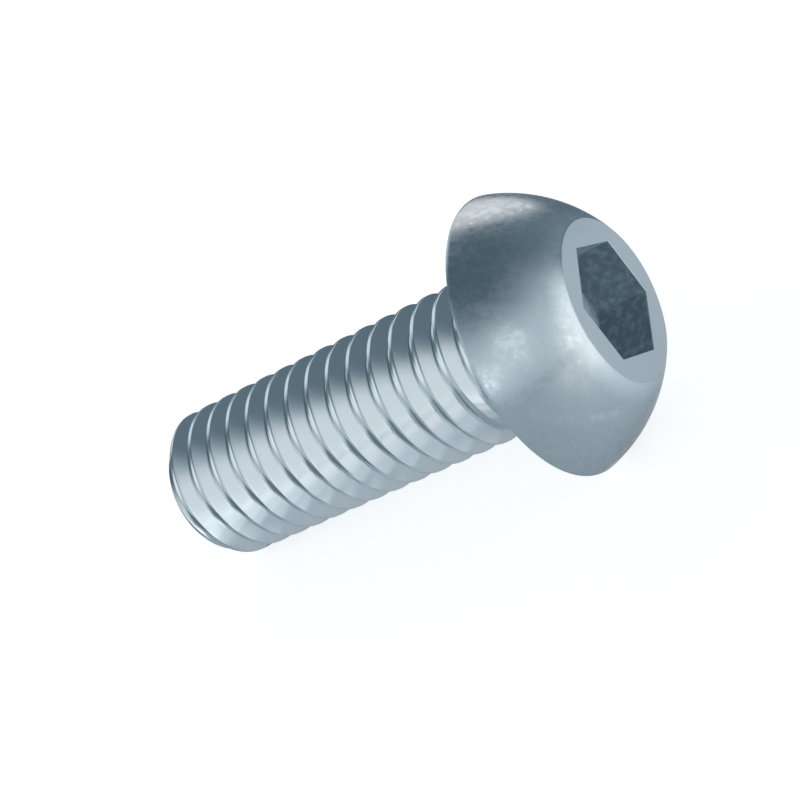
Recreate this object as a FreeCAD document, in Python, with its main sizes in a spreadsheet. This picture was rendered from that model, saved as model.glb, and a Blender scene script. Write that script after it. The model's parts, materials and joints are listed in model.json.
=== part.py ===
import FreeCAD, Part
import math
import os
import Sketcher

# Button head socket screw with a metric coarse thread: one forged and rolled piece of steel.
# It is modelled about its own axis, with +Z out of the head and Z = 0 on the bearing face
# under the head. At the end it is laid down on its side, as it comes to rest on a table.

NODE = "button_head_screw"
WHOLE_TURN = 360

# How far a cutting section stands out past the steel that it cuts.
OVERSHOOT = 0.1

doc = FreeCAD.newDocument("button_head_socket_screw")
sizes = doc.addObject("Spreadsheet::Sheet", "sizes")


def set_size(row, alias, number, meaning):
    """Writes one driving size, in millimetres, degrees or turns, into a row of the sheet."""
    sizes.set(f"A{row}", meaning)
    sizes.set(f"B{row}", str(number))
    sizes.setAlias(f"B{row}", alias)


DRIVING_SIZES = [
    ("head_diameter", 10.42, "outer diameter of the head"),
    ("head_height", 3.09, "bearing face to the flat on top"),
    ("rim_height", 0.085, "straight band at the widest place of the head"),
    ("top_diameter", 5.95, "diameter of the flat on top"),
    ("neck_flare", 0.3, "height and width of the cone between the neck and the bearing face"),
    ("socket_width", 4.02, "hexagonal socket, across its flats"),
    ("socket_depth", 2.08, "flat on top to the floor of the socket"),
    ("socket_turn", 4.3, "degrees from the groove's full end to a corner of the hexagon"),
    ("shank_length", 16.1, "bearing face to the end"),
    ("thread_diameter", 5.88, "over the crests"),
    ("thread_depth", 0.55, "crest to the bottom of the groove"),
    ("root_width", 0.2, "flat at the bottom of the groove"),
    ("flank_angle", 30, "degrees between a flank and a plane square to the axis"),
    ("thread_pitch", 1.0, "crest to crest"),
    ("neck_length", 1.85, "bearing face to where the groove has its full depth"),
    ("runout_turns", 0.22, "share of a turn in which the groove fades out"),
    ("end_chamfer", 0.6, "length of the chamfer at the end"),
    ("end_inset", 0.54, "how far the chamfer comes in from the crests"),
    ("roll_angle", 233, "degrees that the screw is turned about its axis as it lies"),
]
for row, (alias, number, meaning) in enumerate(DRIVING_SIZES, 1):
    set_size(row, alias, number, meaning)
doc.recompute()


def value(alias):
    return float(sizes.get(alias))


body = doc.addObject("PartDesign::Body", "Body")
body.Label = NODE


def origin_plane(role):
    return next(plane for plane in body.Origin.OriginFeatures if plane.Role == role)


def new_sketch(name, role):
    sketch = body.newObject("Sketcher::SketchObject", name)
    sketch.AttachmentSupport = (origin_plane(role), [""])
    sketch.MapMode = "FlatFace"
    return sketch


def add_lines(sketch, places):
    """Draws the straight edges from place to place and returns them."""
    edges = []
    for start, end in zip(places, places[1:]):
        line = Part.LineSegment(FreeCAD.Vector(*start, 0), FreeCAD.Vector(*end, 0))
        edges.append(sketch.addGeometry(line))
    return edges


def add_outline(sketch, corners):
    """Draws the closed outline through these corners and returns its edges."""
    return add_lines(sketch, corners + corners[:1])


def join(sketch, edges):
    """Joins the end of each edge to the start of the next, and the last to the first."""
    for here, following in zip(edges, edges[1:] + edges[:1]):
        sketch.addConstraint(Sketcher.Constraint("Coincident", here, 2, following, 1))


def tie(sketch, kind, *places):
    sketch.addConstraint(Sketcher.Constraint(kind, *places))


def drive(sketch, name, formula, kind, *places):
    """Adds a dimension whose length is a formula on the sheet."""
    length = float(sketch.evalExpression(formula))
    index = sketch.addConstraint(Sketcher.Constraint(kind, *places, length))
    sketch.renameConstraint(index, name)
    sketch.setExpression(f"Constraints.{name}", formula)


# The place that a sketch's own origin has in its constraints.
ORIGIN = (-1, 1)


def keep_level(sketch, edge, end):
    """Keeps one end of an edge on the sketch's level axis."""
    tie(sketch, "PointOnObject", edge, end, -1)


def keep_on_screw_axis(sketch, edge, end):
    """Keeps one end of an edge, or an arc's centre, on the sketch's upright axis."""
    tie(sketch, "PointOnObject", edge, end, -2)


def dome_arc():
    """The arc from the rim up to the flat: the dome is part of a ball centred on the axis."""
    rim = FreeCAD.Vector(value("head_diameter") / 2, value("rim_height"), 0)
    top = FreeCAD.Vector(value("top_diameter") / 2, value("head_height"), 0)
    middle = (rim.x**2 + rim.y**2 - top.x**2 - top.y**2) / (2 * (rim.y - top.y))
    centre = FreeCAD.Vector(0, middle, 0)
    circle = Part.Circle(centre, FreeCAD.Vector(0, 0, 1), (rim - centre).Length)
    return Part.ArcOfCircle(circle, circle.parameter(rim), circle.parameter(top))


def turned_blank():
    """The whole screw before its socket and thread, turned from one half outline."""
    sketch = new_sketch("blank_outline", "XZ_Plane")
    crest = value("thread_diameter") / 2
    end = crest - value("end_inset")
    head = value("head_diameter") / 2
    flare = value("neck_flare")
    length = value("shank_length")
    below_dome = [
        (0, -length),
        (end, -length),
        (crest, value("end_chamfer") - length),
        (crest, -flare),
        (crest + flare, 0),
        (head, 0),
        (head, value("rim_height")),
    ]
    above_dome = [
        (value("top_diameter") / 2, value("head_height")),
        (0, value("head_height")),
        (0, -length),
    ]
    flat_end, chamfer, shank, neck, bearing, band = add_lines(sketch, below_dome)
    dome = sketch.addGeometry(dome_arc())
    flat_top, axis = add_lines(sketch, above_dome)
    join(sketch, [flat_end, chamfer, shank, neck, bearing, band, dome, flat_top, axis])
    for edge in (flat_end, bearing, flat_top):
        tie(sketch, "Horizontal", edge)
    for edge in (shank, band):
        tie(sketch, "Vertical", edge)
    keep_on_screw_axis(sketch, axis, 1)
    keep_on_screw_axis(sketch, axis, 2)
    keep_on_screw_axis(sketch, dome, 3)
    keep_level(sketch, bearing, 1)
    drive(sketch, "crest", "sizes.thread_diameter / 2", "DistanceX", *ORIGIN, shank, 1)
    drive(sketch, "length", "sizes.shank_length", "DistanceY", flat_end, 1, *ORIGIN)
    drive(sketch, "chamfer", "sizes.end_chamfer", "DistanceY", chamfer, 1, chamfer, 2)
    drive(sketch, "inset", "sizes.end_inset", "DistanceX", chamfer, 1, chamfer, 2)
    drive(sketch, "flare_up", "sizes.neck_flare", "DistanceY", neck, 1, neck, 2)
    drive(sketch, "flare_out", "sizes.neck_flare", "DistanceX", neck, 1, neck, 2)
    drive(sketch, "head", "sizes.head_diameter / 2", "DistanceX", *ORIGIN, band, 1)
    drive(sketch, "rim", "sizes.rim_height", "DistanceY", *ORIGIN, band, 2)
    drive(sketch, "top", "sizes.top_diameter / 2", "DistanceX", *ORIGIN, flat_top, 1)
    drive(sketch, "height", "sizes.head_height", "DistanceY", *ORIGIN, flat_top, 1)
    blank = body.newObject("PartDesign::Revolution", "turned_blank")
    blank.Profile = sketch
    blank.ReferenceAxis = (sketch, ["V_Axis"])
    blank.Angle = WHOLE_TURN
    doc.recompute()


def hexagonal_socket():
    sketch = new_sketch("socket_outline", "XY_Plane")
    sketch.setExpression("AttachmentOffset.Base.z", "sizes.head_height")
    sketch.setExpression("AttachmentOffset.Rotation.Angle", "sizes.socket_turn")
    corner_radius = value("socket_width") / 2 / math.cos(math.radians(30))
    corners = []
    for number in range(6):
        angle = math.radians(60 * number)
        corners.append((corner_radius * math.cos(angle), corner_radius * math.sin(angle)))
    edges = add_outline(sketch, corners)
    join(sketch, edges)
    circle = Part.Circle(FreeCAD.Vector(0, 0, 0), FreeCAD.Vector(0, 0, 1), corner_radius)
    through_corners = sketch.addGeometry(circle, True)
    tie(sketch, "Coincident", through_corners, 3, *ORIGIN)
    for edge in edges:
        tie(sketch, "PointOnObject", edge, 1, through_corners)
    for edge in edges[1:]:
        tie(sketch, "Equal", edges[0], edge)
    keep_level(sketch, edges[0], 1)
    formula = "sizes.socket_width / 2 / cos(30 deg)"
    drive(sketch, "corner", formula, "Radius", through_corners)
    socket = body.newObject("PartDesign::Pocket", "hexagonal_socket")
    socket.Profile = sketch
    socket.setExpression("Length", "sizes.socket_depth")
    doc.recompute()


def groove_section():
    """The groove's section where it has its full depth nearest the head."""
    sketch = new_sketch("groove_section", "XZ_Plane")
    root = value("thread_diameter") / 2 - value("thread_depth")
    outside = value("thread_diameter") / 2 + OVERSHOOT
    middle = -value("neck_length")
    half_root = value("root_width") / 2
    slope = math.tan(math.radians(value("flank_angle")))
    half_mouth = half_root + (outside - root) * slope
    corners = [
        (root, middle - half_root),
        (outside, middle - half_mouth),
        (outside, middle + half_mouth),
        (root, middle + half_root),
    ]
    tip_flank, mouth, head_flank, bottom = add_outline(sketch, corners)
    join(sketch, [tip_flank, mouth, head_flank, bottom])
    for edge in (mouth, bottom):
        tie(sketch, "Vertical", edge)
    tie(sketch, "Equal", tip_flank, head_flank)
    bottom_radius = "sizes.thread_diameter / 2 - sizes.thread_depth"
    bottom_place = "sizes.neck_length + sizes.root_width / 2"
    rise = f"sizes.thread_depth + {OVERSHOOT}"
    mouth_width = f"sizes.root_width + 2 * ({rise}) * tan(sizes.flank_angle * 1 deg)"
    drive(sketch, "root", bottom_radius, "DistanceX", *ORIGIN, bottom, 1)
    drive(sketch, "place", bottom_place, "DistanceY", bottom, 2, *ORIGIN)
    drive(sketch, "width", "sizes.root_width", "DistanceY", bottom, 2, bottom, 1)
    drive(sketch, "rise", rise, "DistanceX", tip_flank, 1, tip_flank, 2)
    drive(sketch, "mouth", mouth_width, "DistanceY", mouth, 1, mouth, 2)
    return sketch


def helical_cut(name, section, mode, towards_end):
    cut = body.newObject("PartDesign::SubtractiveHelix", name)
    cut.Profile = section
    cut.ReferenceAxis = (section, ["V_Axis"])
    cut.Mode = mode
    cut.Reversed = towards_end
    return cut


def rolled_thread():
    """The right-hand groove, from its full end near the head out past the shank's end."""
    section = groove_section()
    groove = helical_cut("thread_groove", section, "pitch-turns-angle", True)
    groove.setExpression("Pitch", "sizes.thread_pitch")
    turns = "(sizes.shank_length - sizes.neck_length) / sizes.thread_pitch + 1"
    groove.setExpression("Turns", turns)
    groove.Angle = 0
    doc.recompute()
    # The same section climbs out of the steel in a part of a turn.
    runout = helical_cut("groove_runout", section, "height-turns-growth", False)
    runout.setExpression("Height", "sizes.thread_pitch * sizes.runout_turns")
    runout.setExpression("Turns", "sizes.runout_turns")
    climb = f"(sizes.thread_depth + {OVERSHOOT})"
    runout.setExpression("Growth", f"{climb} / sizes.runout_turns")
    doc.recompute()


def last_crest_below():
    """Bearing face to the last whole crest on the side that the screw lies on."""
    pitch = value("thread_pitch")
    slope = math.tan(math.radians(value("flank_angle")))
    crest_width = pitch - value("root_width") - 2 * value("thread_depth") * slope
    turned = value("roll_angle") / WHOLE_TURN * pitch
    first = value("neck_length") + turned + pitch / 2 + crest_width / 2
    room = value("shank_length") - value("end_chamfer") - first
    return first + math.floor(room / pitch) * pitch


def lie_down():
    """Lays the screw on its head's rim and its last crest, with the head towards +X."""
    head = value("head_diameter") / 2
    drop = head - value("thread_diameter") / 2
    tilt = math.atan(drop / last_crest_below())
    roll = FreeCAD.Rotation(FreeCAD.Vector(0, 0, 1), value("roll_angle"))
    lean = FreeCAD.Rotation(FreeCAD.Vector(0, 1, 0), 90 - math.degrees(tilt))
    top_reach = value("head_height") * math.cos(tilt)
    top_reach += value("top_diameter") / 2 * math.sin(tilt)
    end_radius = value("thread_diameter") / 2 - value("end_inset")
    end_reach = value("shank_length") * math.cos(tilt)
    end_reach += end_radius * math.sin(tilt)
    place = FreeCAD.Vector((end_reach - top_reach) / 2, 0, head * math.cos(tilt))
    body.Placement = FreeCAD.Placement(place, lean.multiply(roll))
    doc.recompute()
    print(f"tilt {math.degrees(tilt):.4f} degrees, bearing face at {tuple(place)}")


def check_document():
    for thing in doc.Objects:
        if "Invalid" in thing.State or "Error" in thing.State:
            raise ValueError(f"{thing.Label} has failed: {thing.State}")
    shape = body.Shape
    if shape.isNull() or not shape.isValid() or len(shape.Solids) != 1:
        raise ValueError(f"{body.Label} is not one valid solid")


turned_blank()
hexagonal_socket()
rolled_thread()
lie_down()
check_document()

os.makedirs("parts", exist_ok=True)
body.Shape.exportStep(f"parts/{NODE}.step")
print(f"{NODE}: {body.Shape.Volume:.3f} cubic millimetres")
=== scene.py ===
import json
import math

import bmesh
import bpy
from bpy.props import (
    FloatProperty,
    FloatVectorProperty,
    IntProperty,
    PointerProperty,
)
from bpy.types import Operator, Panel, PropertyGroup
from mathutils import Matrix, Vector


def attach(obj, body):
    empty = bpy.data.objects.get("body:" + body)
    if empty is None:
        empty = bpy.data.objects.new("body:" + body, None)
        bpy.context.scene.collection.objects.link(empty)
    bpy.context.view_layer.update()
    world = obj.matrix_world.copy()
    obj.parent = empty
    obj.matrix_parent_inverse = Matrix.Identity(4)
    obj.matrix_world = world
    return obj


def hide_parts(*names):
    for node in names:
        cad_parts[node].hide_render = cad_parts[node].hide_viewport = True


bl_info = {
    "name": "Button Head Socket Screw",
    "version": (1, 0, 0),
    "blender": (4, 5, 0),
    "location": "3D View > Sidebar > Screw",
    "description": "Builds a zinc-plated button head socket screw and its studio",
    "category": "Mesh",
}

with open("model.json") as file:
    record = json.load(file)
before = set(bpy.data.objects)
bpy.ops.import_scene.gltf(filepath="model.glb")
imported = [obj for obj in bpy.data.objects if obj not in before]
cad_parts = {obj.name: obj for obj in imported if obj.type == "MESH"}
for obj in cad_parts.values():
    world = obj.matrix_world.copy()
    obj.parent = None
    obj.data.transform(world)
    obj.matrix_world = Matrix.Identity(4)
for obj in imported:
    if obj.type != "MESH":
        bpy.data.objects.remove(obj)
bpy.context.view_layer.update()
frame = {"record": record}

NODE = "button_head_screw"

MM = 0.001
FULL_TURN = 2 * math.pi
FLANK_ANGLE = math.radians(30)
UP = Vector((0, 0, 1))

# The room that the metal shows: its bright walls, its dim side and cards, and its ceiling.
WALL = (1.09, 1.12, 1.13)
SCREEN = (0.29, 0.37, 0.415)
CEILING = (0.162, 0.231, 0.27)

# Tints of the lamps.
WARM = (1.0, 0.83, 0.75)
SOFT = (1.0, 0.93, 0.88)
COOL = (0.98, 1.0, 1.0)

# The floor: as the metal shows it and light falls on it, and under its own white glow.
PAPER = (0.86, 0.91, 0.94)
SHADED_PAPER = (0.40, 0.42, 0.43)
PAPER_GLOW = 0.75


def mount(name):
    """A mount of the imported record: its place in metres and its direction."""
    entry = next(one for one in frame["record"]["mounts"] if one["name"] == name)
    return Vector(entry["pos_m"]), Vector(entry["axis"]).normalized()


def lying_place():
    """Where the screw lies: from its own frame, head up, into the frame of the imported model."""
    middle, towards_end = mount("thread")
    face, _ = mount("bearing_face")
    head_way = -towards_end
    centre = middle + head_way * (face - middle).dot(head_way)
    lean = Matrix.Rotation(math.acos(head_way.z), 4, "Y")
    return Matrix.Translation(centre) @ lean


class ScrewSizes(PropertyGroup):
    """The screw's own sizes, which a maker would read off its drawing."""

    head_radius: FloatProperty(
        name="Head Radius", description="Widest place of the head", default=5.21 * MM, unit="LENGTH"
    )
    head_height: FloatProperty(
        name="Head Height", description="Bearing face to the flat", default=3.09 * MM, unit="LENGTH"
    )
    rim_height: FloatProperty(
        name="Rim Height", description="Band at the widest place", default=0.02 * MM, unit="LENGTH"
    )
    dome_radius: FloatProperty(
        name="Dome Radius", description="Arc from the rim to the flat", default=5.91 * MM, unit="LENGTH"
    )
    flat_radius: FloatProperty(
        name="Flat Radius", description="Flat on top of the head", default=2.975 * MM, unit="LENGTH"
    )
    neck_fillet: FloatProperty(
        name="Neck Fillet", description="Neck to bearing face", default=0.28 * MM, unit="LENGTH"
    )
    socket_width: FloatProperty(
        name="Socket Width", description="Across the flats", default=4.02 * MM, unit="LENGTH"
    )
    socket_depth: FloatProperty(
        name="Socket Depth", description="Flat to the socket's floor", default=2.07 * MM, unit="LENGTH"
    )
    socket_turn: FloatProperty(
        name="Socket Turn",
        description="From the groove's full end to a corner of the socket",
        default=math.radians(4.3),
        subtype="ANGLE",
    )
    shank_length: FloatProperty(
        name="Shank Length", description="Bearing face to the end", default=16.1 * MM, unit="LENGTH"
    )
    crest_radius: FloatProperty(
        name="Crest Radius", description="Axis to the crests", default=2.94 * MM, unit="LENGTH"
    )
    thread_depth: FloatProperty(
        name="Thread Depth",
        description="Crest to the groove's bottom",
        default=0.548 * MM,
        unit="LENGTH",
    )
    root_width: FloatProperty(
        name="Root Width", description="Flat at the groove's bottom", default=0.2 * MM, unit="LENGTH"
    )
    pitch: FloatProperty(name="Pitch", description="Crest to crest", default=1.0 * MM, unit="LENGTH")
    neck_length: FloatProperty(
        name="Neck Length",
        description="Bearing face to where the groove has its full depth",
        default=1.85 * MM,
        unit="LENGTH",
    )
    runout_turn: FloatProperty(
        name="Runout",
        description="Turn in which the groove fades out",
        default=0.22 * FULL_TURN,
        subtype="ANGLE",
    )
    end_chamfer: FloatProperty(
        name="End Chamfer", description="Its length along the axis", default=0.6 * MM, unit="LENGTH"
    )
    end_inset: FloatProperty(
        name="End Inset", description="How far it comes in", default=0.54 * MM, unit="LENGTH"
    )
    roll: FloatProperty(
        name="Roll",
        description="Turn of the screw about its axis as it lies",
        default=math.radians(233),
        subtype="ANGLE",
    )
    steps: IntProperty(
        name="Steps",
        description="Steps in one turn, a multiple of six for the socket's corners",
        default=192,
        min=48,
        step=6,
    )


class ZincFinish(PropertyGroup):
    """Colours and grain of the zinc plating."""

    pale: FloatVectorProperty(
        name="Pale", description="Bright zinc", default=(0.352, 0.417, 0.462), subtype="COLOR"
    )
    deep: FloatVectorProperty(
        name="Deep",
        description="Zinc in the darker flecks",
        default=(0.334, 0.399, 0.444),
        subtype="COLOR",
    )
    # Painted highlight: a paler colour along the dome's edge beside the flat.
    painted_edge_highlight: FloatVectorProperty(
        name="Painted Highlight",
        description="Paler edge of the dome beside the flat",
        default=(0.44, 0.52, 0.57),
        subtype="COLOR",
    )
    # Painted shade: the socket's walls and its floor by the corners are darkened in colour.
    socket_shade: FloatVectorProperty(
        name="Socket Shade", description="Walls of the socket", default=(0.145, 0.210, 0.252), subtype="COLOR"
    )
    # Painted shade: darker random blotches of it on the socket's walls.
    shade_blotches: FloatVectorProperty(
        name="Shade Blotches",
        description="Darker blotches on those walls",
        default=(0.124, 0.181, 0.217),
        subtype="COLOR",
    )
    grain: FloatProperty(
        name="Grain", description="Size of the mottling", default=0.28 * MM, unit="LENGTH"
    )


def fresh_material(name):
    """A material without nodes, with its nodes and links."""
    material = bpy.data.materials.new(name)
    material.use_nodes = True
    material.node_tree.nodes.clear()
    return material, material.node_tree.nodes, material.node_tree.links


def grain_noise(nodes, links, place, size, detail, roughness):
    """Noise whose blotches are about this size, in metres, on the piece's own coordinates."""
    noise = nodes.new("ShaderNodeTexNoise")
    noise.inputs["Scale"].default_value = 1 / size
    noise.inputs["Detail"].default_value = detail
    noise.inputs["Roughness"].default_value = roughness
    links.new(place.outputs["Object"], noise.inputs["Vector"])
    return noise.outputs["Fac"]


def spread(nodes, links, source, low, high, to_low, to_high):
    """Maps a value from one span to another."""
    ranged = nodes.new("ShaderNodeMapRange")
    ranged.inputs["From Min"].default_value = low
    ranged.inputs["From Max"].default_value = high
    ranged.inputs["To Min"].default_value = to_low
    ranged.inputs["To Max"].default_value = to_high
    links.new(source, ranged.inputs["Value"])
    return ranged.outputs["Result"]


def eased(nodes, links, source, low, high):
    """Rises softly from nothing at one value to one at another."""
    ranged = nodes.new("ShaderNodeMapRange")
    ranged.interpolation_type = "SMOOTHSTEP"
    ranged.inputs["From Min"].default_value = low
    ranged.inputs["From Max"].default_value = high
    links.new(source, ranged.inputs["Value"])
    return ranged.outputs["Result"]


def blend(nodes, links, share, first, second):
    """A colour between two, each of them written here or a node's output."""
    mix = nodes.new("ShaderNodeMix")
    mix.data_type = "RGBA"
    for name, colour in (("A", first), ("B", second)):
        if isinstance(colour, bpy.types.NodeSocket):
            links.new(colour, mix.inputs[name])
        else:
            mix.inputs[name].default_value = (*colour, 1)
    links.new(share, mix.inputs["Factor"])
    return mix.outputs["Result"]


def vector_step(nodes, links, operation, source, *others):
    """A vector node that works on an output, with plain vectors as its other inputs."""
    step = nodes.new("ShaderNodeVectorMath")
    step.operation = operation
    links.new(source, step.inputs[0])
    for number, other in enumerate(others, 1):
        step.inputs[number].default_value = other
    return step.outputs["Value" if operation in ("DOT_PRODUCT", "LENGTH") else "Vector"]


def along_axis(nodes, links, place):
    """Height above the bearing face along the screw's axis, and distance from the axis, in metres."""
    axis = -mount("thread")[1]
    face_centre = lying_place().translation
    from_face = vector_step(nodes, links, "SUBTRACT", place.outputs["Object"], face_centre)
    height = vector_step(nodes, links, "DOT_PRODUCT", from_face, axis)
    across = vector_step(nodes, links, "CROSS_PRODUCT", from_face, axis)
    return height, vector_step(nodes, links, "LENGTH", across)


def combined(nodes, links, operation, first, second):
    """The product, or the larger, of two node outputs."""
    both = nodes.new("ShaderNodeMath")
    both.operation = operation
    links.new(first, both.inputs[0])
    links.new(second, both.inputs[1])
    return both.outputs["Value"]


def plus_share(nodes, links, total, extra, share, clamp=False):
    """A node's output plus this share of another's, and no more than one where it is clamped."""
    both = nodes.new("ShaderNodeMath")
    both.operation = "MULTIPLY_ADD"
    both.use_clamp = clamp
    both.inputs[1].default_value = share
    links.new(extra, both.inputs[0])
    links.new(total, both.inputs[2])
    return both.outputs["Value"]


def relief(nodes, links, height, strength, depth, under=None):
    """A bump of this depth in metres, over another one's normal."""
    bump = nodes.new("ShaderNodeBump")
    bump.inputs["Distance"].default_value = depth
    links.new(strength, bump.inputs["Strength"])
    links.new(height, bump.inputs["Height"])
    if under:
        links.new(under, bump.inputs["Normal"])
    return bump.outputs["Normal"]


def zinc_places(nodes, links, place, sizes):
    """Masks: the worn head, its edge by the flat where a highlight is painted, all of the socket, and
    the socket's walls and floor corners where shade is painted.
    """
    height, reach = along_axis(nodes, links, place)
    top = sizes.head_height
    floor = top - sizes.socket_depth
    on_head = spread(nodes, links, height, -0.3 * MM, 0.1 * MM, 0.0, 1.0)
    off_flat = spread(nodes, links, height, top - 0.03 * MM, top - 0.005 * MM, 1.0, 0.0)
    worn = combined(nodes, links, "MULTIPLY", on_head, off_flat)
    # Where a highlight is painted: the dome's edge beside the flat.
    by_flat = spread(nodes, links, height, top - 0.5 * MM, top - 0.12 * MM, 0.0, 1.0)
    painted_edge_highlight = combined(nodes, links, "MULTIPLY", by_flat, off_flat)
    inside = spread(nodes, links, reach, 2.60 * MM, 2.65 * MM, 1.0, 0.0)
    in_socket = combined(nodes, links, "MULTIPLY", inside, worn)
    # Where shade is painted: the socket's walls and its floor towards the corners.
    above_floor = spread(nodes, links, height, floor, floor + 0.03 * MM, 0.0, 1.0)
    by_corners = spread(nodes, links, reach, 1.7 * MM, 2.25 * MM, 0.0, 1.0)
    shaded = combined(nodes, links, "MAXIMUM", above_floor, by_corners)
    socket_shade_mask = combined(nodes, links, "MULTIPLY", in_socket, shaded)
    return worn, painted_edge_highlight, in_socket, socket_shade_mask


def zinc_plating(finish, sizes):
    """Bright zinc: flecked and finely pitted on the head, with a highlight painted by the flat, smoother
    on the thread, rougher and darkened by painted shade in the socket.
    """
    material, nodes, links = fresh_material("zinc_plating")
    output = nodes.new("ShaderNodeOutputMaterial")
    zinc = nodes.new("ShaderNodeBsdfPrincipled")
    zinc.inputs["Metallic"].default_value = 1.0
    zinc.inputs["Specular Tint"].default_value = (0.62, 0.64, 0.66, 1)
    links.new(zinc.outputs["BSDF"], output.inputs["Surface"])
    place = nodes.new("ShaderNodeTexCoord")
    clouds = grain_noise(nodes, links, place, finish.grain * 3.2, 5.0, 0.6)
    flecks = grain_noise(nodes, links, place, finish.grain, 2.5, 0.55)
    pits = grain_noise(nodes, links, place, finish.grain * 0.25, 2.0, 0.5)
    worn, painted_edge_highlight, in_socket, socket_shade_mask = zinc_places(nodes, links, place, sizes)

    # Its colour.
    fleck = spread(nodes, links, flecks, 0.36, 0.56, 0.0, 1.0)
    patchy = combined(nodes, links, "MULTIPLY", worn, fleck)
    bright = blend(nodes, links, patchy, finish.pale, finish.deep)
    # A highlight painted as a paler colour along the dome's edge beside the flat.
    bright = blend(nodes, links, painted_edge_highlight, bright, finish.painted_edge_highlight)
    # Painted shade on the socket's walls and its floor towards the corners, in random darker blotches.
    socket_shade = blend(nodes, links, fleck, finish.socket_shade, finish.shade_blotches)
    links.new(blend(nodes, links, socket_shade_mask, bright, socket_shade), zinc.inputs["Base Color"])

    # Its gloss.
    rough = spread(nodes, links, clouds, 0.3, 0.7, 0.12, 0.21)
    rough = plus_share(nodes, links, rough, patchy, 0.13)
    rough = plus_share(nodes, links, rough, in_socket, 0.55)
    links.new(rough, zinc.inputs["Roughness"])

    # Its relief.
    dents = spread(nodes, links, worn, 0.0, 1.0, 0.1, 0.8)
    dented = relief(nodes, links, flecks, dents, 0.004 * MM)
    open_pits = spread(nodes, links, pits, 0.62, 0.76, 1.0, 0.0)
    pitting = spread(nodes, links, worn, 0.0, 1.0, 0.05, 0.8)
    pitted = relief(nodes, links, open_pits, pitting, 0.002 * MM, dented)
    links.new(pitted, zinc.inputs["Normal"])
    return material


def chain(bm, outline):
    """Vertices and edges through the points of a half outline, given as radius and height."""
    corners = [bm.verts.new((radius, 0, height)) for radius, height in outline]
    edges = [bm.edges.new(pair) for pair in zip(corners, corners[1:])]
    return corners + edges


def arc(centre, radius, start, finish, steps):
    """Points of an arc in a half outline, from one angle to another."""
    points = []
    for number in range(steps + 1):
        angle = start + (finish - start) * number / steps
        points.append((centre[0] + radius * math.cos(angle), centre[1] + radius * math.sin(angle)))
    return points


def dome_outline(sizes):
    """The arc from the rim up to the flat, through both of its ends."""
    rim = Vector((sizes.head_radius, sizes.rim_height))
    top = Vector((sizes.flat_radius, sizes.head_height))
    half = (top - rim) / 2
    inward = Vector((-half.y, half.x)).normalized()
    centre = rim + half + inward * math.sqrt(sizes.dome_radius**2 - half.length_squared)
    start = math.atan2(rim.y - centre.y, rim.x - centre.x)
    finish = math.atan2(top.y - centre.y, top.x - centre.x)
    return arc(centre, sizes.dome_radius, start, finish, 36)


def head_outline(sizes, neck_top):
    """From the neck out over the bearing face, round the rim's fine edge and up the dome to the flat."""
    fillet = sizes.neck_fillet
    edge = 0.008 * MM
    inner = sizes.crest_radius + fillet
    outer = sizes.head_radius - edge
    outline = [(sizes.crest_radius, neck_top)]
    outline += arc((inner, -fillet), fillet, math.pi, math.pi / 2, 8)
    for share in (0.25, 0.5, 0.75):
        outline.append((inner + (outer - inner) * share, 0))
    outline += arc((outer, edge), edge, -math.pi / 2, 0, 4)
    outline += dome_outline(sizes)[1:]
    return outline


def half_widths(sizes):
    """Half the groove's width, at its bottom and at its mouth."""
    half_root = sizes.root_width / 2
    return half_root, half_root + sizes.thread_depth * math.tan(FLANK_ANGLE)


def crest_and_groove(sizes):
    """One pitch of the thread's outline, from a groove's middle towards the end of the shank."""
    root = sizes.crest_radius - sizes.thread_depth
    half_root, half_mouth = half_widths(sizes)
    # The root and its soft corner.
    half = [
        (root, 0),
        (root, half_root * 0.55),
        (root + 0.006 * MM, half_root * 0.9),
        (root + 0.03 * MM, half_root + 0.025 * MM),
    ]
    # The straight flank.
    for share in (0.2, 0.4, 0.6, 0.8):
        half.append((root + sizes.thread_depth * share, half_root + (half_mouth - half_root) * share))
    # The soft corner of the crest.
    half += [
        (sizes.crest_radius - 0.030 * MM, half_mouth - 0.0175 * MM),
        (sizes.crest_radius - 0.008 * MM, half_mouth - 0.001 * MM),
        (sizes.crest_radius, half_mouth + 0.022 * MM),
    ]
    other = [(radius, sizes.pitch - step) for radius, step in reversed(half)]
    return half + [(sizes.crest_radius, sizes.pitch / 2)] + other


def endless_thread(bm, sizes):
    """Turns of thread from above the neck down past the end of the shank."""
    top = -sizes.neck_length + 2 * sizes.pitch
    outline = [(radius, top - step) for radius, step in crest_and_groove(sizes)]
    bmesh.ops.spin(
        bm,
        geom=chain(bm, outline),
        cent=(0, 0, 0),
        axis=UP,
        dvec=UP * (sizes.pitch / sizes.steps),
        angle=FULL_TURN,
        steps=sizes.steps,
        use_duplicate=False,
    )
    one_turn = bm.verts[:] + bm.edges[:] + bm.faces[:]
    turns = math.ceil((sizes.shank_length + top) / sizes.pitch) + 1
    for number in range(1, turns):
        copy = bmesh.ops.duplicate(bm, geom=one_turn)["geom"]
        corners = [item for item in copy if isinstance(item, bmesh.types.BMVert)]
        bmesh.ops.translate(bm, verts=corners, vec=UP * (-sizes.pitch * number))
    bmesh.ops.remove_doubles(bm, verts=bm.verts, dist=0.002 * MM)


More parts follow.
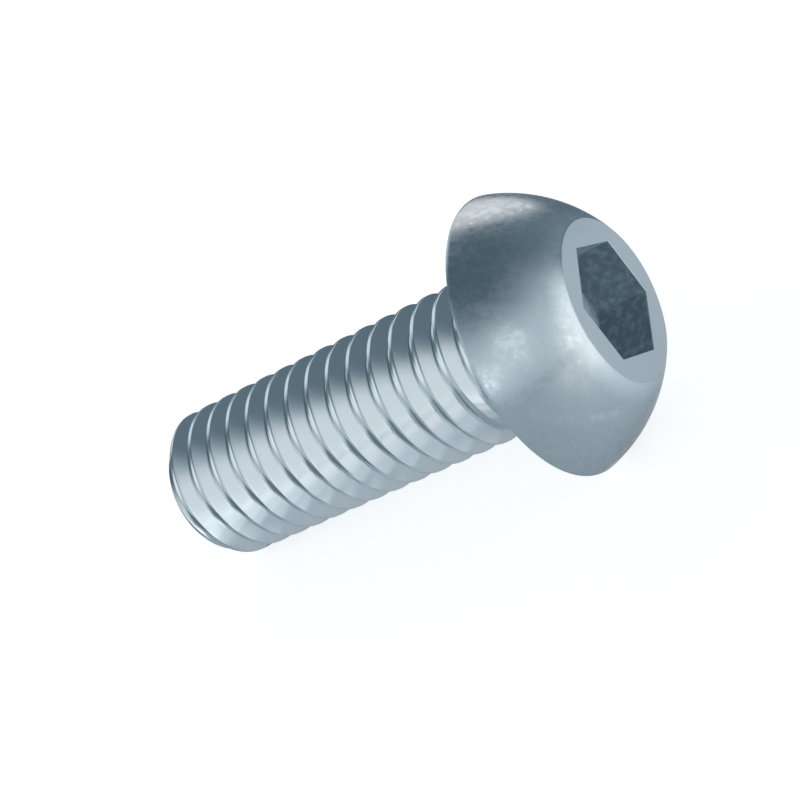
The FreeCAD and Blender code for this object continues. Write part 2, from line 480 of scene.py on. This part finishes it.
def fade_runout(bm, sizes):
    """Lets the groove climb and narrow until it has left the neck."""
    _, half_mouth = half_widths(sizes)
    softness = 0.35
    narrowing = 0.5
    for corner in bm.verts:
        turn = math.atan2(corner.co.y, corner.co.x) % FULL_TURN
        if FULL_TURN - turn < 1e-5:
            turn = 0.0
        along = -sizes.neck_length + sizes.pitch * turn / FULL_TURN
        number = round((along - corner.co.z) / sizes.pitch)
        past = turn - FULL_TURN * number
        if past <= 0:
            continue
        share = min(past / sizes.runout_turn, 1.0)
        share = share * share * (3 - 2 * share) * softness + share * (1 - softness)
        middle = along - number * sizes.pitch
        offset = corner.co.z - middle
        radius = corner.co.to_2d().length
        wanted = radius + (sizes.crest_radius - radius) * share
        if abs(offset) < half_mouth:
            corner.co.z = middle + offset * (1 - narrowing * share)
        corner.co.x *= wanted / radius
        corner.co.y *= wanted / radius


def chamfer_end(bm, sizes):
    """Brings the crests in towards the end of the shank, softly at the chamfer's edge."""
    slope = sizes.end_inset / sizes.end_chamfer
    soft = 0.02 * MM
    for corner in bm.verts:
        radius = corner.co.to_2d().length
        limit = sizes.crest_radius - sizes.end_inset + (corner.co.z + sizes.shank_length) * slope
        over = (radius - limit) / soft
        if over < -4:
            continue
        wanted = limit + soft * (over - math.log1p(math.exp(over))) if over < 30 else limit
        corner.co.x *= wanted / radius
        corner.co.y *= wanted / radius


def trim(bm, height, keep_below):
    """Cuts the mesh level at a height and returns the edges of the new rim."""
    near = 0.004 * MM
    bmesh.ops.bisect_plane(
        bm,
        geom=bm.verts[:] + bm.edges[:] + bm.faces[:],
        dist=near,
        plane_co=(0, 0, height),
        plane_no=UP,
        clear_outer=keep_below,
        clear_inner=not keep_below,
    )
    rim = open_rim(bm, height, near * 2)
    for corner in {corner for edge in rim for corner in edge.verts}:
        corner.co.z = height
    return rim


def open_rim(bm, height, near):
    """The open edges that lie at about a height."""
    return [
        edge
        for edge in bm.edges
        if edge.is_boundary and all(abs(corner.co.z - height) < near for corner in edge.verts)
    ]


def pull_in(bm, rim, radius, height):
    """Extrudes a round rim to another radius and height and returns the new rim."""
    grown = bmesh.ops.extrude_edge_only(bm, edges=rim)["geom"]
    for corner in (item for item in grown if isinstance(item, bmesh.types.BMVert)):
        now = corner.co.to_2d().length
        corner.co = Vector((corner.co.x * radius / now, corner.co.y * radius / now, height))
    return [item for item in grown if isinstance(item, bmesh.types.BMEdge) and item.is_boundary]


def shank(bm, sizes):
    """The threaded shank with its neck and chamfered end. Returns where its neck stops."""
    below_fillet = 0.35 * MM
    neck_top = -sizes.neck_fillet - below_fillet
    endless_thread(bm, sizes)
    fade_runout(bm, sizes)
    chamfer_end(bm, sizes)
    trim(bm, neck_top, keep_below=True)
    end = trim(bm, -sizes.shank_length, keep_below=False)
    end_radius = sizes.crest_radius - sizes.end_inset
    for share in (0.97, 0.9, 0.6, 0.3):
        end = pull_in(bm, end, end_radius * share, -sizes.shank_length)
    bmesh.ops.contextual_create(bm, geom=end)
    return neck_top


def add_to(bm, other):
    """Moves what is in another bmesh into this one."""
    carrier = bpy.data.meshes.new("carrier")
    other.to_mesh(carrier)
    other.free()
    bm.from_mesh(carrier)
    bpy.data.meshes.remove(carrier)


def head(bm, sizes, neck_top):
    """The turned head, bridged to the neck's rim. Returns the rim of its flat."""
    bridge_height = 0.12 * MM
    start = neck_top + bridge_height
    turned = bmesh.new()
    bmesh.ops.spin(
        turned,
        geom=chain(turned, head_outline(sizes, start)),
        cent=(0, 0, 0),
        axis=UP,
        angle=FULL_TURN,
        steps=sizes.steps,
        use_merge=True,
        use_duplicate=False,
    )
    add_to(bm, turned)
    near = 0.001 * MM
    bmesh.ops.bridge_loops(bm, edges=open_rim(bm, neck_top, near) + open_rim(bm, start, near))
    return open_rim(bm, sizes.head_height, near)


def six_sided(bm, rim, sizes, width, height):
    """Extrudes a rim to a hexagon, this far across its flats, and returns the new rim."""
    step = FULL_TURN / sizes.steps
    side = FULL_TURN / 6
    grown = bmesh.ops.extrude_edge_only(bm, edges=rim)["geom"]
    for corner in (item for item in grown if isinstance(item, bmesh.types.BMVert)):
        past = math.atan2(corner.co.y, corner.co.x) - sizes.socket_turn
        past = round(past / step) * step
        reach = width / 2 / math.cos(past % side - side / 2)
        turn = past + sizes.socket_turn
        corner.co = Vector((reach * math.cos(turn), reach * math.sin(turn), height))
    return [item for item in grown if isinstance(item, bmesh.types.BMEdge) and item.is_boundary]


def hexagonal_socket(bm, sizes, rim):
    """The socket: a hexagon let into the flat, with a broken edge and a flat floor."""
    broken = 0.012 * MM
    foot = 0.02 * MM
    width = sizes.socket_width
    top = sizes.head_height
    floor = top - sizes.socket_depth
    rings = [
        (width + 2 * broken, top),
        (width, top - broken),
        (width, top - sizes.socket_depth * 0.5),
        (width, floor + foot),
        (width - 2 * foot, floor),
        (width * 0.6, floor),
        (width * 0.25, floor),
    ]
    for across, height in rings:
        rim = six_sided(bm, rim, sizes, across, height)
    bmesh.ops.contextual_create(bm, geom=rim)


def mark_corners(bm, sharpest):
    """Marks the edges sharper than an angle, so that only the rest are shaded smooth."""
    for face in bm.faces:
        face.smooth = True
    for edge in bm.edges:
        edge.smooth = not edge.is_manifold or edge.calc_face_angle(0) < sharpest


class SCREW_OT_fastener(Operator):
    """Builds the screw: shank with its rolled thread, neck, domed head and hexagonal socket"""

    bl_idname = "screw.fastener"
    bl_label = "Screw"

    def execute(self, context):
        sizes = context.scene.screw_sizes
        bm = bmesh.new()
        neck_top = shank(bm, sizes)
        flat_rim = head(bm, sizes, neck_top)
        hexagonal_socket(bm, sizes, flat_rim)
        bmesh.ops.recalc_face_normals(bm, faces=bm.faces)
        mark_corners(bm, math.radians(32))
        open_edges = sum(1 for edge in bm.edges if not edge.is_manifold)
        if open_edges:
            raise RuntimeError(f"the screw has {open_edges} open edges")
        place = lying_place() @ Matrix.Rotation(sizes.roll, 4, "Z")
        bmesh.ops.transform(bm, matrix=place, verts=bm.verts)
        mesh = bpy.data.meshes.new("screw")
        bm.to_mesh(mesh)
        bm.free()
        screw = bpy.data.objects.new("screw", mesh)
        context.scene.collection.objects.link(screw)
        mesh.materials.append(zinc_plating(context.scene.zinc_finish, sizes))
        # The metal mirrors its surroundings and not itself.
        screw.visible_glossy = False
        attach(screw, "root")
        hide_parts(NODE)
        return {"FINISHED"}


class StudioSettings(PropertyGroup):
    """Where the camera stands, what it looks at, its turn and its lens."""

    camera_place: FloatVectorProperty(
        name="Camera Place",
        description="Where the camera stands",
        default=(37.094 * MM, -55.234 * MM, 39.863 * MM),
        subtype="XYZ_LENGTH",
    )
    camera_target: FloatVectorProperty(
        name="Camera Target",
        description="What the camera looks at",
        default=(1.713 * MM, -2.658 * MM, 5.899 * MM),
        subtype="XYZ_LENGTH",
    )
    camera_roll: FloatProperty(
        name="Camera Roll",
        description="Turn of the camera about its own view",
        default=math.radians(-34.03),
        subtype="ANGLE",
    )
    lens: FloatProperty(name="Lens", description="Focal length in millimetres", default=94.01)


def aim(place, target, roll):
    """A turn that looks from a place at a target, then rolls about the view."""
    look = (Vector(target) - Vector(place)).to_track_quat("-Z", "Y")
    return look.to_matrix().to_4x4() @ Matrix.Rotation(roll, 4, "Z")


def add_camera(studio):
    """The camera that the finished picture is taken with."""
    data = bpy.data.cameras.new("camera")
    data.lens = studio.lens
    data.sensor_width = 36
    data.clip_start = 1 * MM
    data.clip_end = 10
    camera = bpy.data.objects.new("camera", data)
    turned = aim(studio.camera_place, studio.camera_target, studio.camera_roll)
    camera.matrix_world = Matrix.Translation(studio.camera_place) @ turned
    bpy.context.scene.collection.objects.link(camera)
    bpy.context.scene.camera = camera


def direction(azimuth, elevation):
    """A direction from the screw, by degrees round from +X and degrees up."""
    flat = math.cos(math.radians(elevation))
    return Vector(
        (
            flat * math.cos(math.radians(azimuth)),
            flat * math.sin(math.radians(azimuth)),
            math.sin(math.radians(elevation)),
        )
    )


def add_lamp(name, place, towards, width, height, brightness, tint, core):
    """A soft box in millimetres, as bright in its core as a white wall times its brightness."""
    data = bpy.data.lights.new(name, "AREA")
    data.shape = "RECTANGLE"
    data.size = width * MM
    data.size_y = height * MM
    data.energy = brightness * math.pi * data.size * data.size_y
    data.color = tint
    fade_to_edge(data, core)
    lamp = bpy.data.objects.new(name, data)
    place = Vector(place) * MM
    lamp.matrix_world = Matrix.Translation(place) @ aim(place, Vector(towards) * MM, 0)
    bpy.context.scene.collection.objects.link(lamp)
    return lamp


def fade_to_edge(data, core):
    """Lets a soft box fade from its core, given as a share of its size, to nothing at its edge."""
    data.use_nodes = True
    nodes = data.node_tree.nodes
    links = data.node_tree.links
    nodes.clear()
    output = nodes.new("ShaderNodeOutputLight")
    glow = nodes.new("ShaderNodeEmission")
    on_lamp = nodes.new("ShaderNodeNewGeometry").outputs["Parametric"]
    centred = vector_step(nodes, links, "MULTIPLY_ADD", on_lamp, (2, 2, 0), (-1, -1, 0))
    reach = vector_step(nodes, links, "LENGTH", centred)
    links.new(eased(nodes, links, reach, 1.0, core), glow.inputs["Strength"])
    links.new(glow.outputs["Emission"], output.inputs["Surface"])


def add_wall_lamp(name, azimuth, elevation, distance, width, height, brightness, tint, core):
    """A soft box that faces the screw from a side, at a distance in millimetres."""
    centre = Vector((0, 0, 5))
    place = direction(azimuth, elevation) * distance + centre
    add_lamp(name, place, centre, width, height, brightness, tint, core)


def add_floor_lamp(name, x, y, width, height, brightness, tint, core):
    """A soft box that lies on the floor and shines up at the metal."""
    add_lamp(name, (x, y, 0.4), (x, y, 5), width, height, brightness, tint, core)


def add_strip(name, place, azimuth, elevation, width, height, brightness, core):
    """A small strip light beside the screw, whose front faces a side and which only the metal shows."""
    towards = Vector(place) + direction(azimuth, elevation)
    strip = add_lamp(name, place, towards, width, height, brightness, SOFT, core)
    strip.visible_diffuse = False


def seen_white(nodes, links, in_metal):
    """How far a ray shows plain white: fully to the camera and through glass, in metal by a share."""
    rays = nodes.new("ShaderNodeLightPath")
    total = rays.outputs["Is Camera Ray"]
    for name, share in (("Is Glossy Ray", in_metal), ("Is Transmission Ray", 1.0)):
        total = plus_share(nodes, links, total, rays.outputs[name], share, clamp=True)
    return total


def coloured(nodes, kind, colour):
    """A shader node of this kind in a plain colour."""
    shader = nodes.new(kind)
    shader.inputs["Color"].default_value = (*colour, 1)
    return shader


def add_floor():
    """A pale floor that shows white and keeps the shadow."""
    bm = bmesh.new()
    bmesh.ops.create_circle(bm, segments=96, radius=1.5, cap_ends=True)
    mesh = bpy.data.meshes.new("floor")
    bm.to_mesh(mesh)
    bm.free()
    floor = bpy.data.objects.new("floor", mesh)
    bpy.context.scene.collection.objects.link(floor)
    material, nodes, links = fresh_material("floor")
    output = nodes.new("ShaderNodeOutputMaterial")
    seen = nodes.new("ShaderNodeMixShader")
    paper = coloured(nodes, "ShaderNodeBsdfDiffuse", PAPER)
    shade = coloured(nodes, "ShaderNodeBsdfDiffuse", SHADED_PAPER)
    glow = coloured(nodes, "ShaderNodeEmission", (1, 1, 1))
    glow.inputs["Strength"].default_value = PAPER_GLOW
    both = nodes.new("ShaderNodeAddShader")
    links.new(shade.outputs["BSDF"], both.inputs[0])
    links.new(glow.outputs["Emission"], both.inputs[1])
    links.new(seen_white(nodes, links, in_metal=0.25), seen.inputs["Fac"])
    links.new(paper.outputs["BSDF"], seen.inputs[1])
    links.new(both.outputs["Shader"], seen.inputs[2])
    links.new(seen.outputs["Shader"], output.inputs["Surface"])
    mesh.materials.append(material)


def add_card(name, corners):
    """A grey card between corners in millimetres, which only the metal shows."""
    bm = bmesh.new()
    bmesh.ops.contextual_create(bm, geom=[bm.verts.new(Vector(corner) * MM) for corner in corners])
    mesh = bpy.data.meshes.new(name)
    bm.to_mesh(mesh)
    bm.free()
    material, nodes, links = fresh_material(name)
    output = nodes.new("ShaderNodeOutputMaterial")
    grey = coloured(nodes, "ShaderNodeEmission", SCREEN)
    links.new(grey.outputs["Emission"], output.inputs["Surface"])
    mesh.materials.append(material)
    card = bpy.data.objects.new(name, mesh)
    bpy.context.scene.collection.objects.link(card)
    card.visible_camera = False
    card.visible_diffuse = False
    card.visible_shadow = False


def facing(nodes, links, place, azimuth, near, far):
    """One towards this side of the room, fading to nothing between two angles from it."""
    side = vector_step(nodes, links, "DOT_PRODUCT", place.outputs["Generated"], direction(azimuth, 0))
    nothing = math.cos(math.radians(far))
    full = math.cos(math.radians(near))
    return eased(nodes, links, side, nothing, full)


def add_world():
    """White to the camera and through glass. Metal shows a bright room, dim at one side and above."""
    world = bpy.data.worlds.new("studio")
    bpy.context.scene.world = world
    world.use_nodes = True
    nodes = world.node_tree.nodes
    links = world.node_tree.links
    nodes.clear()
    output = nodes.new("ShaderNodeOutputWorld")
    seen = nodes.new("ShaderNodeMixShader")
    white = coloured(nodes, "ShaderNodeBackground", (1, 1, 1))
    room = nodes.new("ShaderNodeBackground")
    place = nodes.new("ShaderNodeTexCoord")
    parts = nodes.new("ShaderNodeSeparateXYZ")
    links.new(place.outputs["Generated"], parts.inputs["Vector"])
    lowest = math.sin(math.radians(31))
    highest = math.sin(math.radians(89))
    upward = eased(nodes, links, parts.outputs["Z"], lowest, highest)
    lit_side = facing(nodes, links, place, azimuth=-73, near=78, far=108)
    wall = blend(nodes, links, lit_side, SCREEN, WALL)
    sky = blend(nodes, links, upward, wall, CEILING)
    links.new(sky, room.inputs["Color"])
    links.new(seen_white(nodes, links, in_metal=0.0), seen.inputs["Fac"])
    links.new(room.outputs["Background"], seen.inputs[1])
    links.new(white.outputs["Background"], seen.inputs[2])
    links.new(seen.outputs["Shader"], output.inputs["Surface"])


class SCREW_OT_studio(Operator):
    """Sets up the floor, the lamps, the surroundings and the camera"""

    bl_idname = "screw.studio"
    bl_label = "Studio"

    def execute(self, context):
        add_floor()
        add_world()
        # Soft boxes round the room, by their azimuth, elevation and distance.
        add_wall_lamp("back_soft_box", 103, 22, 300, 232, 270, 1.68, WARM, 0.63)
        add_wall_lamp("side_window", 3, -6, 160, 267, 290, 0.59, WARM, 0.66)
        add_wall_lamp("bright_strip", -23, -23, 160, 90, 450, 0.62, SOFT, 0.12)
        add_wall_lamp("edge_light", -6, -4, 160, 27, 63, 0.6, SOFT, 0.13)
        add_wall_lamp("front_soft_box", -56, 30, 300, 174, 225, 0.5, SOFT, 0.43)
        add_wall_lamp("small_fill", -83, 16, 300, 190, 145, 1.3, SOFT, 0.07)
        add_wall_lamp("end_lamp", 144, 31, 300, 283, 500, 1.35, COOL, 0.22)
        add_wall_lamp("far_lamp", -153.5, 27, 300, 212, 286, 0.97, SOFT, 0.45)
        # Soft boxes on the floor, by their place on it.
        add_floor_lamp("low_panel", 65.5, -7.3, 110, 76, 1.14, WARM, 0.53)
        add_floor_lamp("near_panel", -1.9, -0.7, 20, 8.4, 0.39, SOFT, 0.6)
        add_floor_lamp("flat_panel", 20.3, 6.5, 38, 48, 0.34, SOFT, 0.43)
        # Strips beside the screw, by their place and the way that they face.
        add_strip("shank_strip", (3.1, -5.5, 0.5), 149, -4, 14, 9, 0.75, 0.18)
        add_strip("middle_strip", (-2.6, -5.2, 0.8), 130, -5, 11.8, 4.2, 0.97, 0.1)
        add_strip("tip_strip", (-6.2, -5.4, 1.4), -177, 30, 7.5, 2.8, 1.1, 0.26)
        add_strip("head_strip", (10.5, -5.2, 0.9), -175, -26, 30, 3.1, 0.26, 0.76)
        # Cards behind the screw and beyond its end.
        add_card(
            "back_card",
            ((-17.6, 13.1, 0.1), (12.8, 13.1, 0.1), (12.8, 21.3, 8.9), (-17.6, 21.3, 8.9)),
        )
        add_card(
            "tip_card",
            ((-21.8, -7.2, 0.2), (1.2, -7.2, 0.2), (-21.8, -30.2, 3.8), (-59.8, -30.2, 3.8)),
        )
        add_camera(context.scene.screw_studio)
        context.scene.view_settings.view_transform = "Standard"
        return {"FINISHED"}


class SCREW_PT_sidebar(Panel):
    """Lists the pieces of the screw's scene"""

    bl_label = "Button Head Screw"
    bl_idname = "SCREW_PT_sidebar"
    bl_space_type = "VIEW_3D"
    bl_region_type = "UI"
    bl_category = "Screw"

    def draw(self, context):
        layout = self.layout
        layout.operator(SCREW_OT_fastener.bl_idname)
        layout.operator(SCREW_OT_studio.bl_idname)
        for name in ("head_radius", "head_height", "shank_length", "crest_radius", "pitch"):
            layout.prop(context.scene.screw_sizes, name)
        for name in ("pale", "deep", "grain"):
            layout.prop(context.scene.zinc_finish, name)
        layout.prop(context.scene.screw_studio, "lens")


CLASSES = (
    ScrewSizes,
    ZincFinish,
    StudioSettings,
    SCREW_OT_fastener,
    SCREW_OT_studio,
    SCREW_PT_sidebar,
)


def register():
    for entry in CLASSES:
        bpy.utils.register_class(entry)
    bpy.types.Scene.screw_sizes = PointerProperty(type=ScrewSizes)
    bpy.types.Scene.zinc_finish = PointerProperty(type=ZincFinish)
    bpy.types.Scene.screw_studio = PointerProperty(type=StudioSettings)


def unregister():
    del bpy.types.Scene.screw_studio
    del bpy.types.Scene.zinc_finish
    del bpy.types.Scene.screw_sizes
    for entry in reversed(CLASSES):
        bpy.utils.unregister_class(entry)


def main():
    register()
    bpy.ops.screw.fastener()
    bpy.ops.screw.studio()


if __name__ == "__main__":
    main()
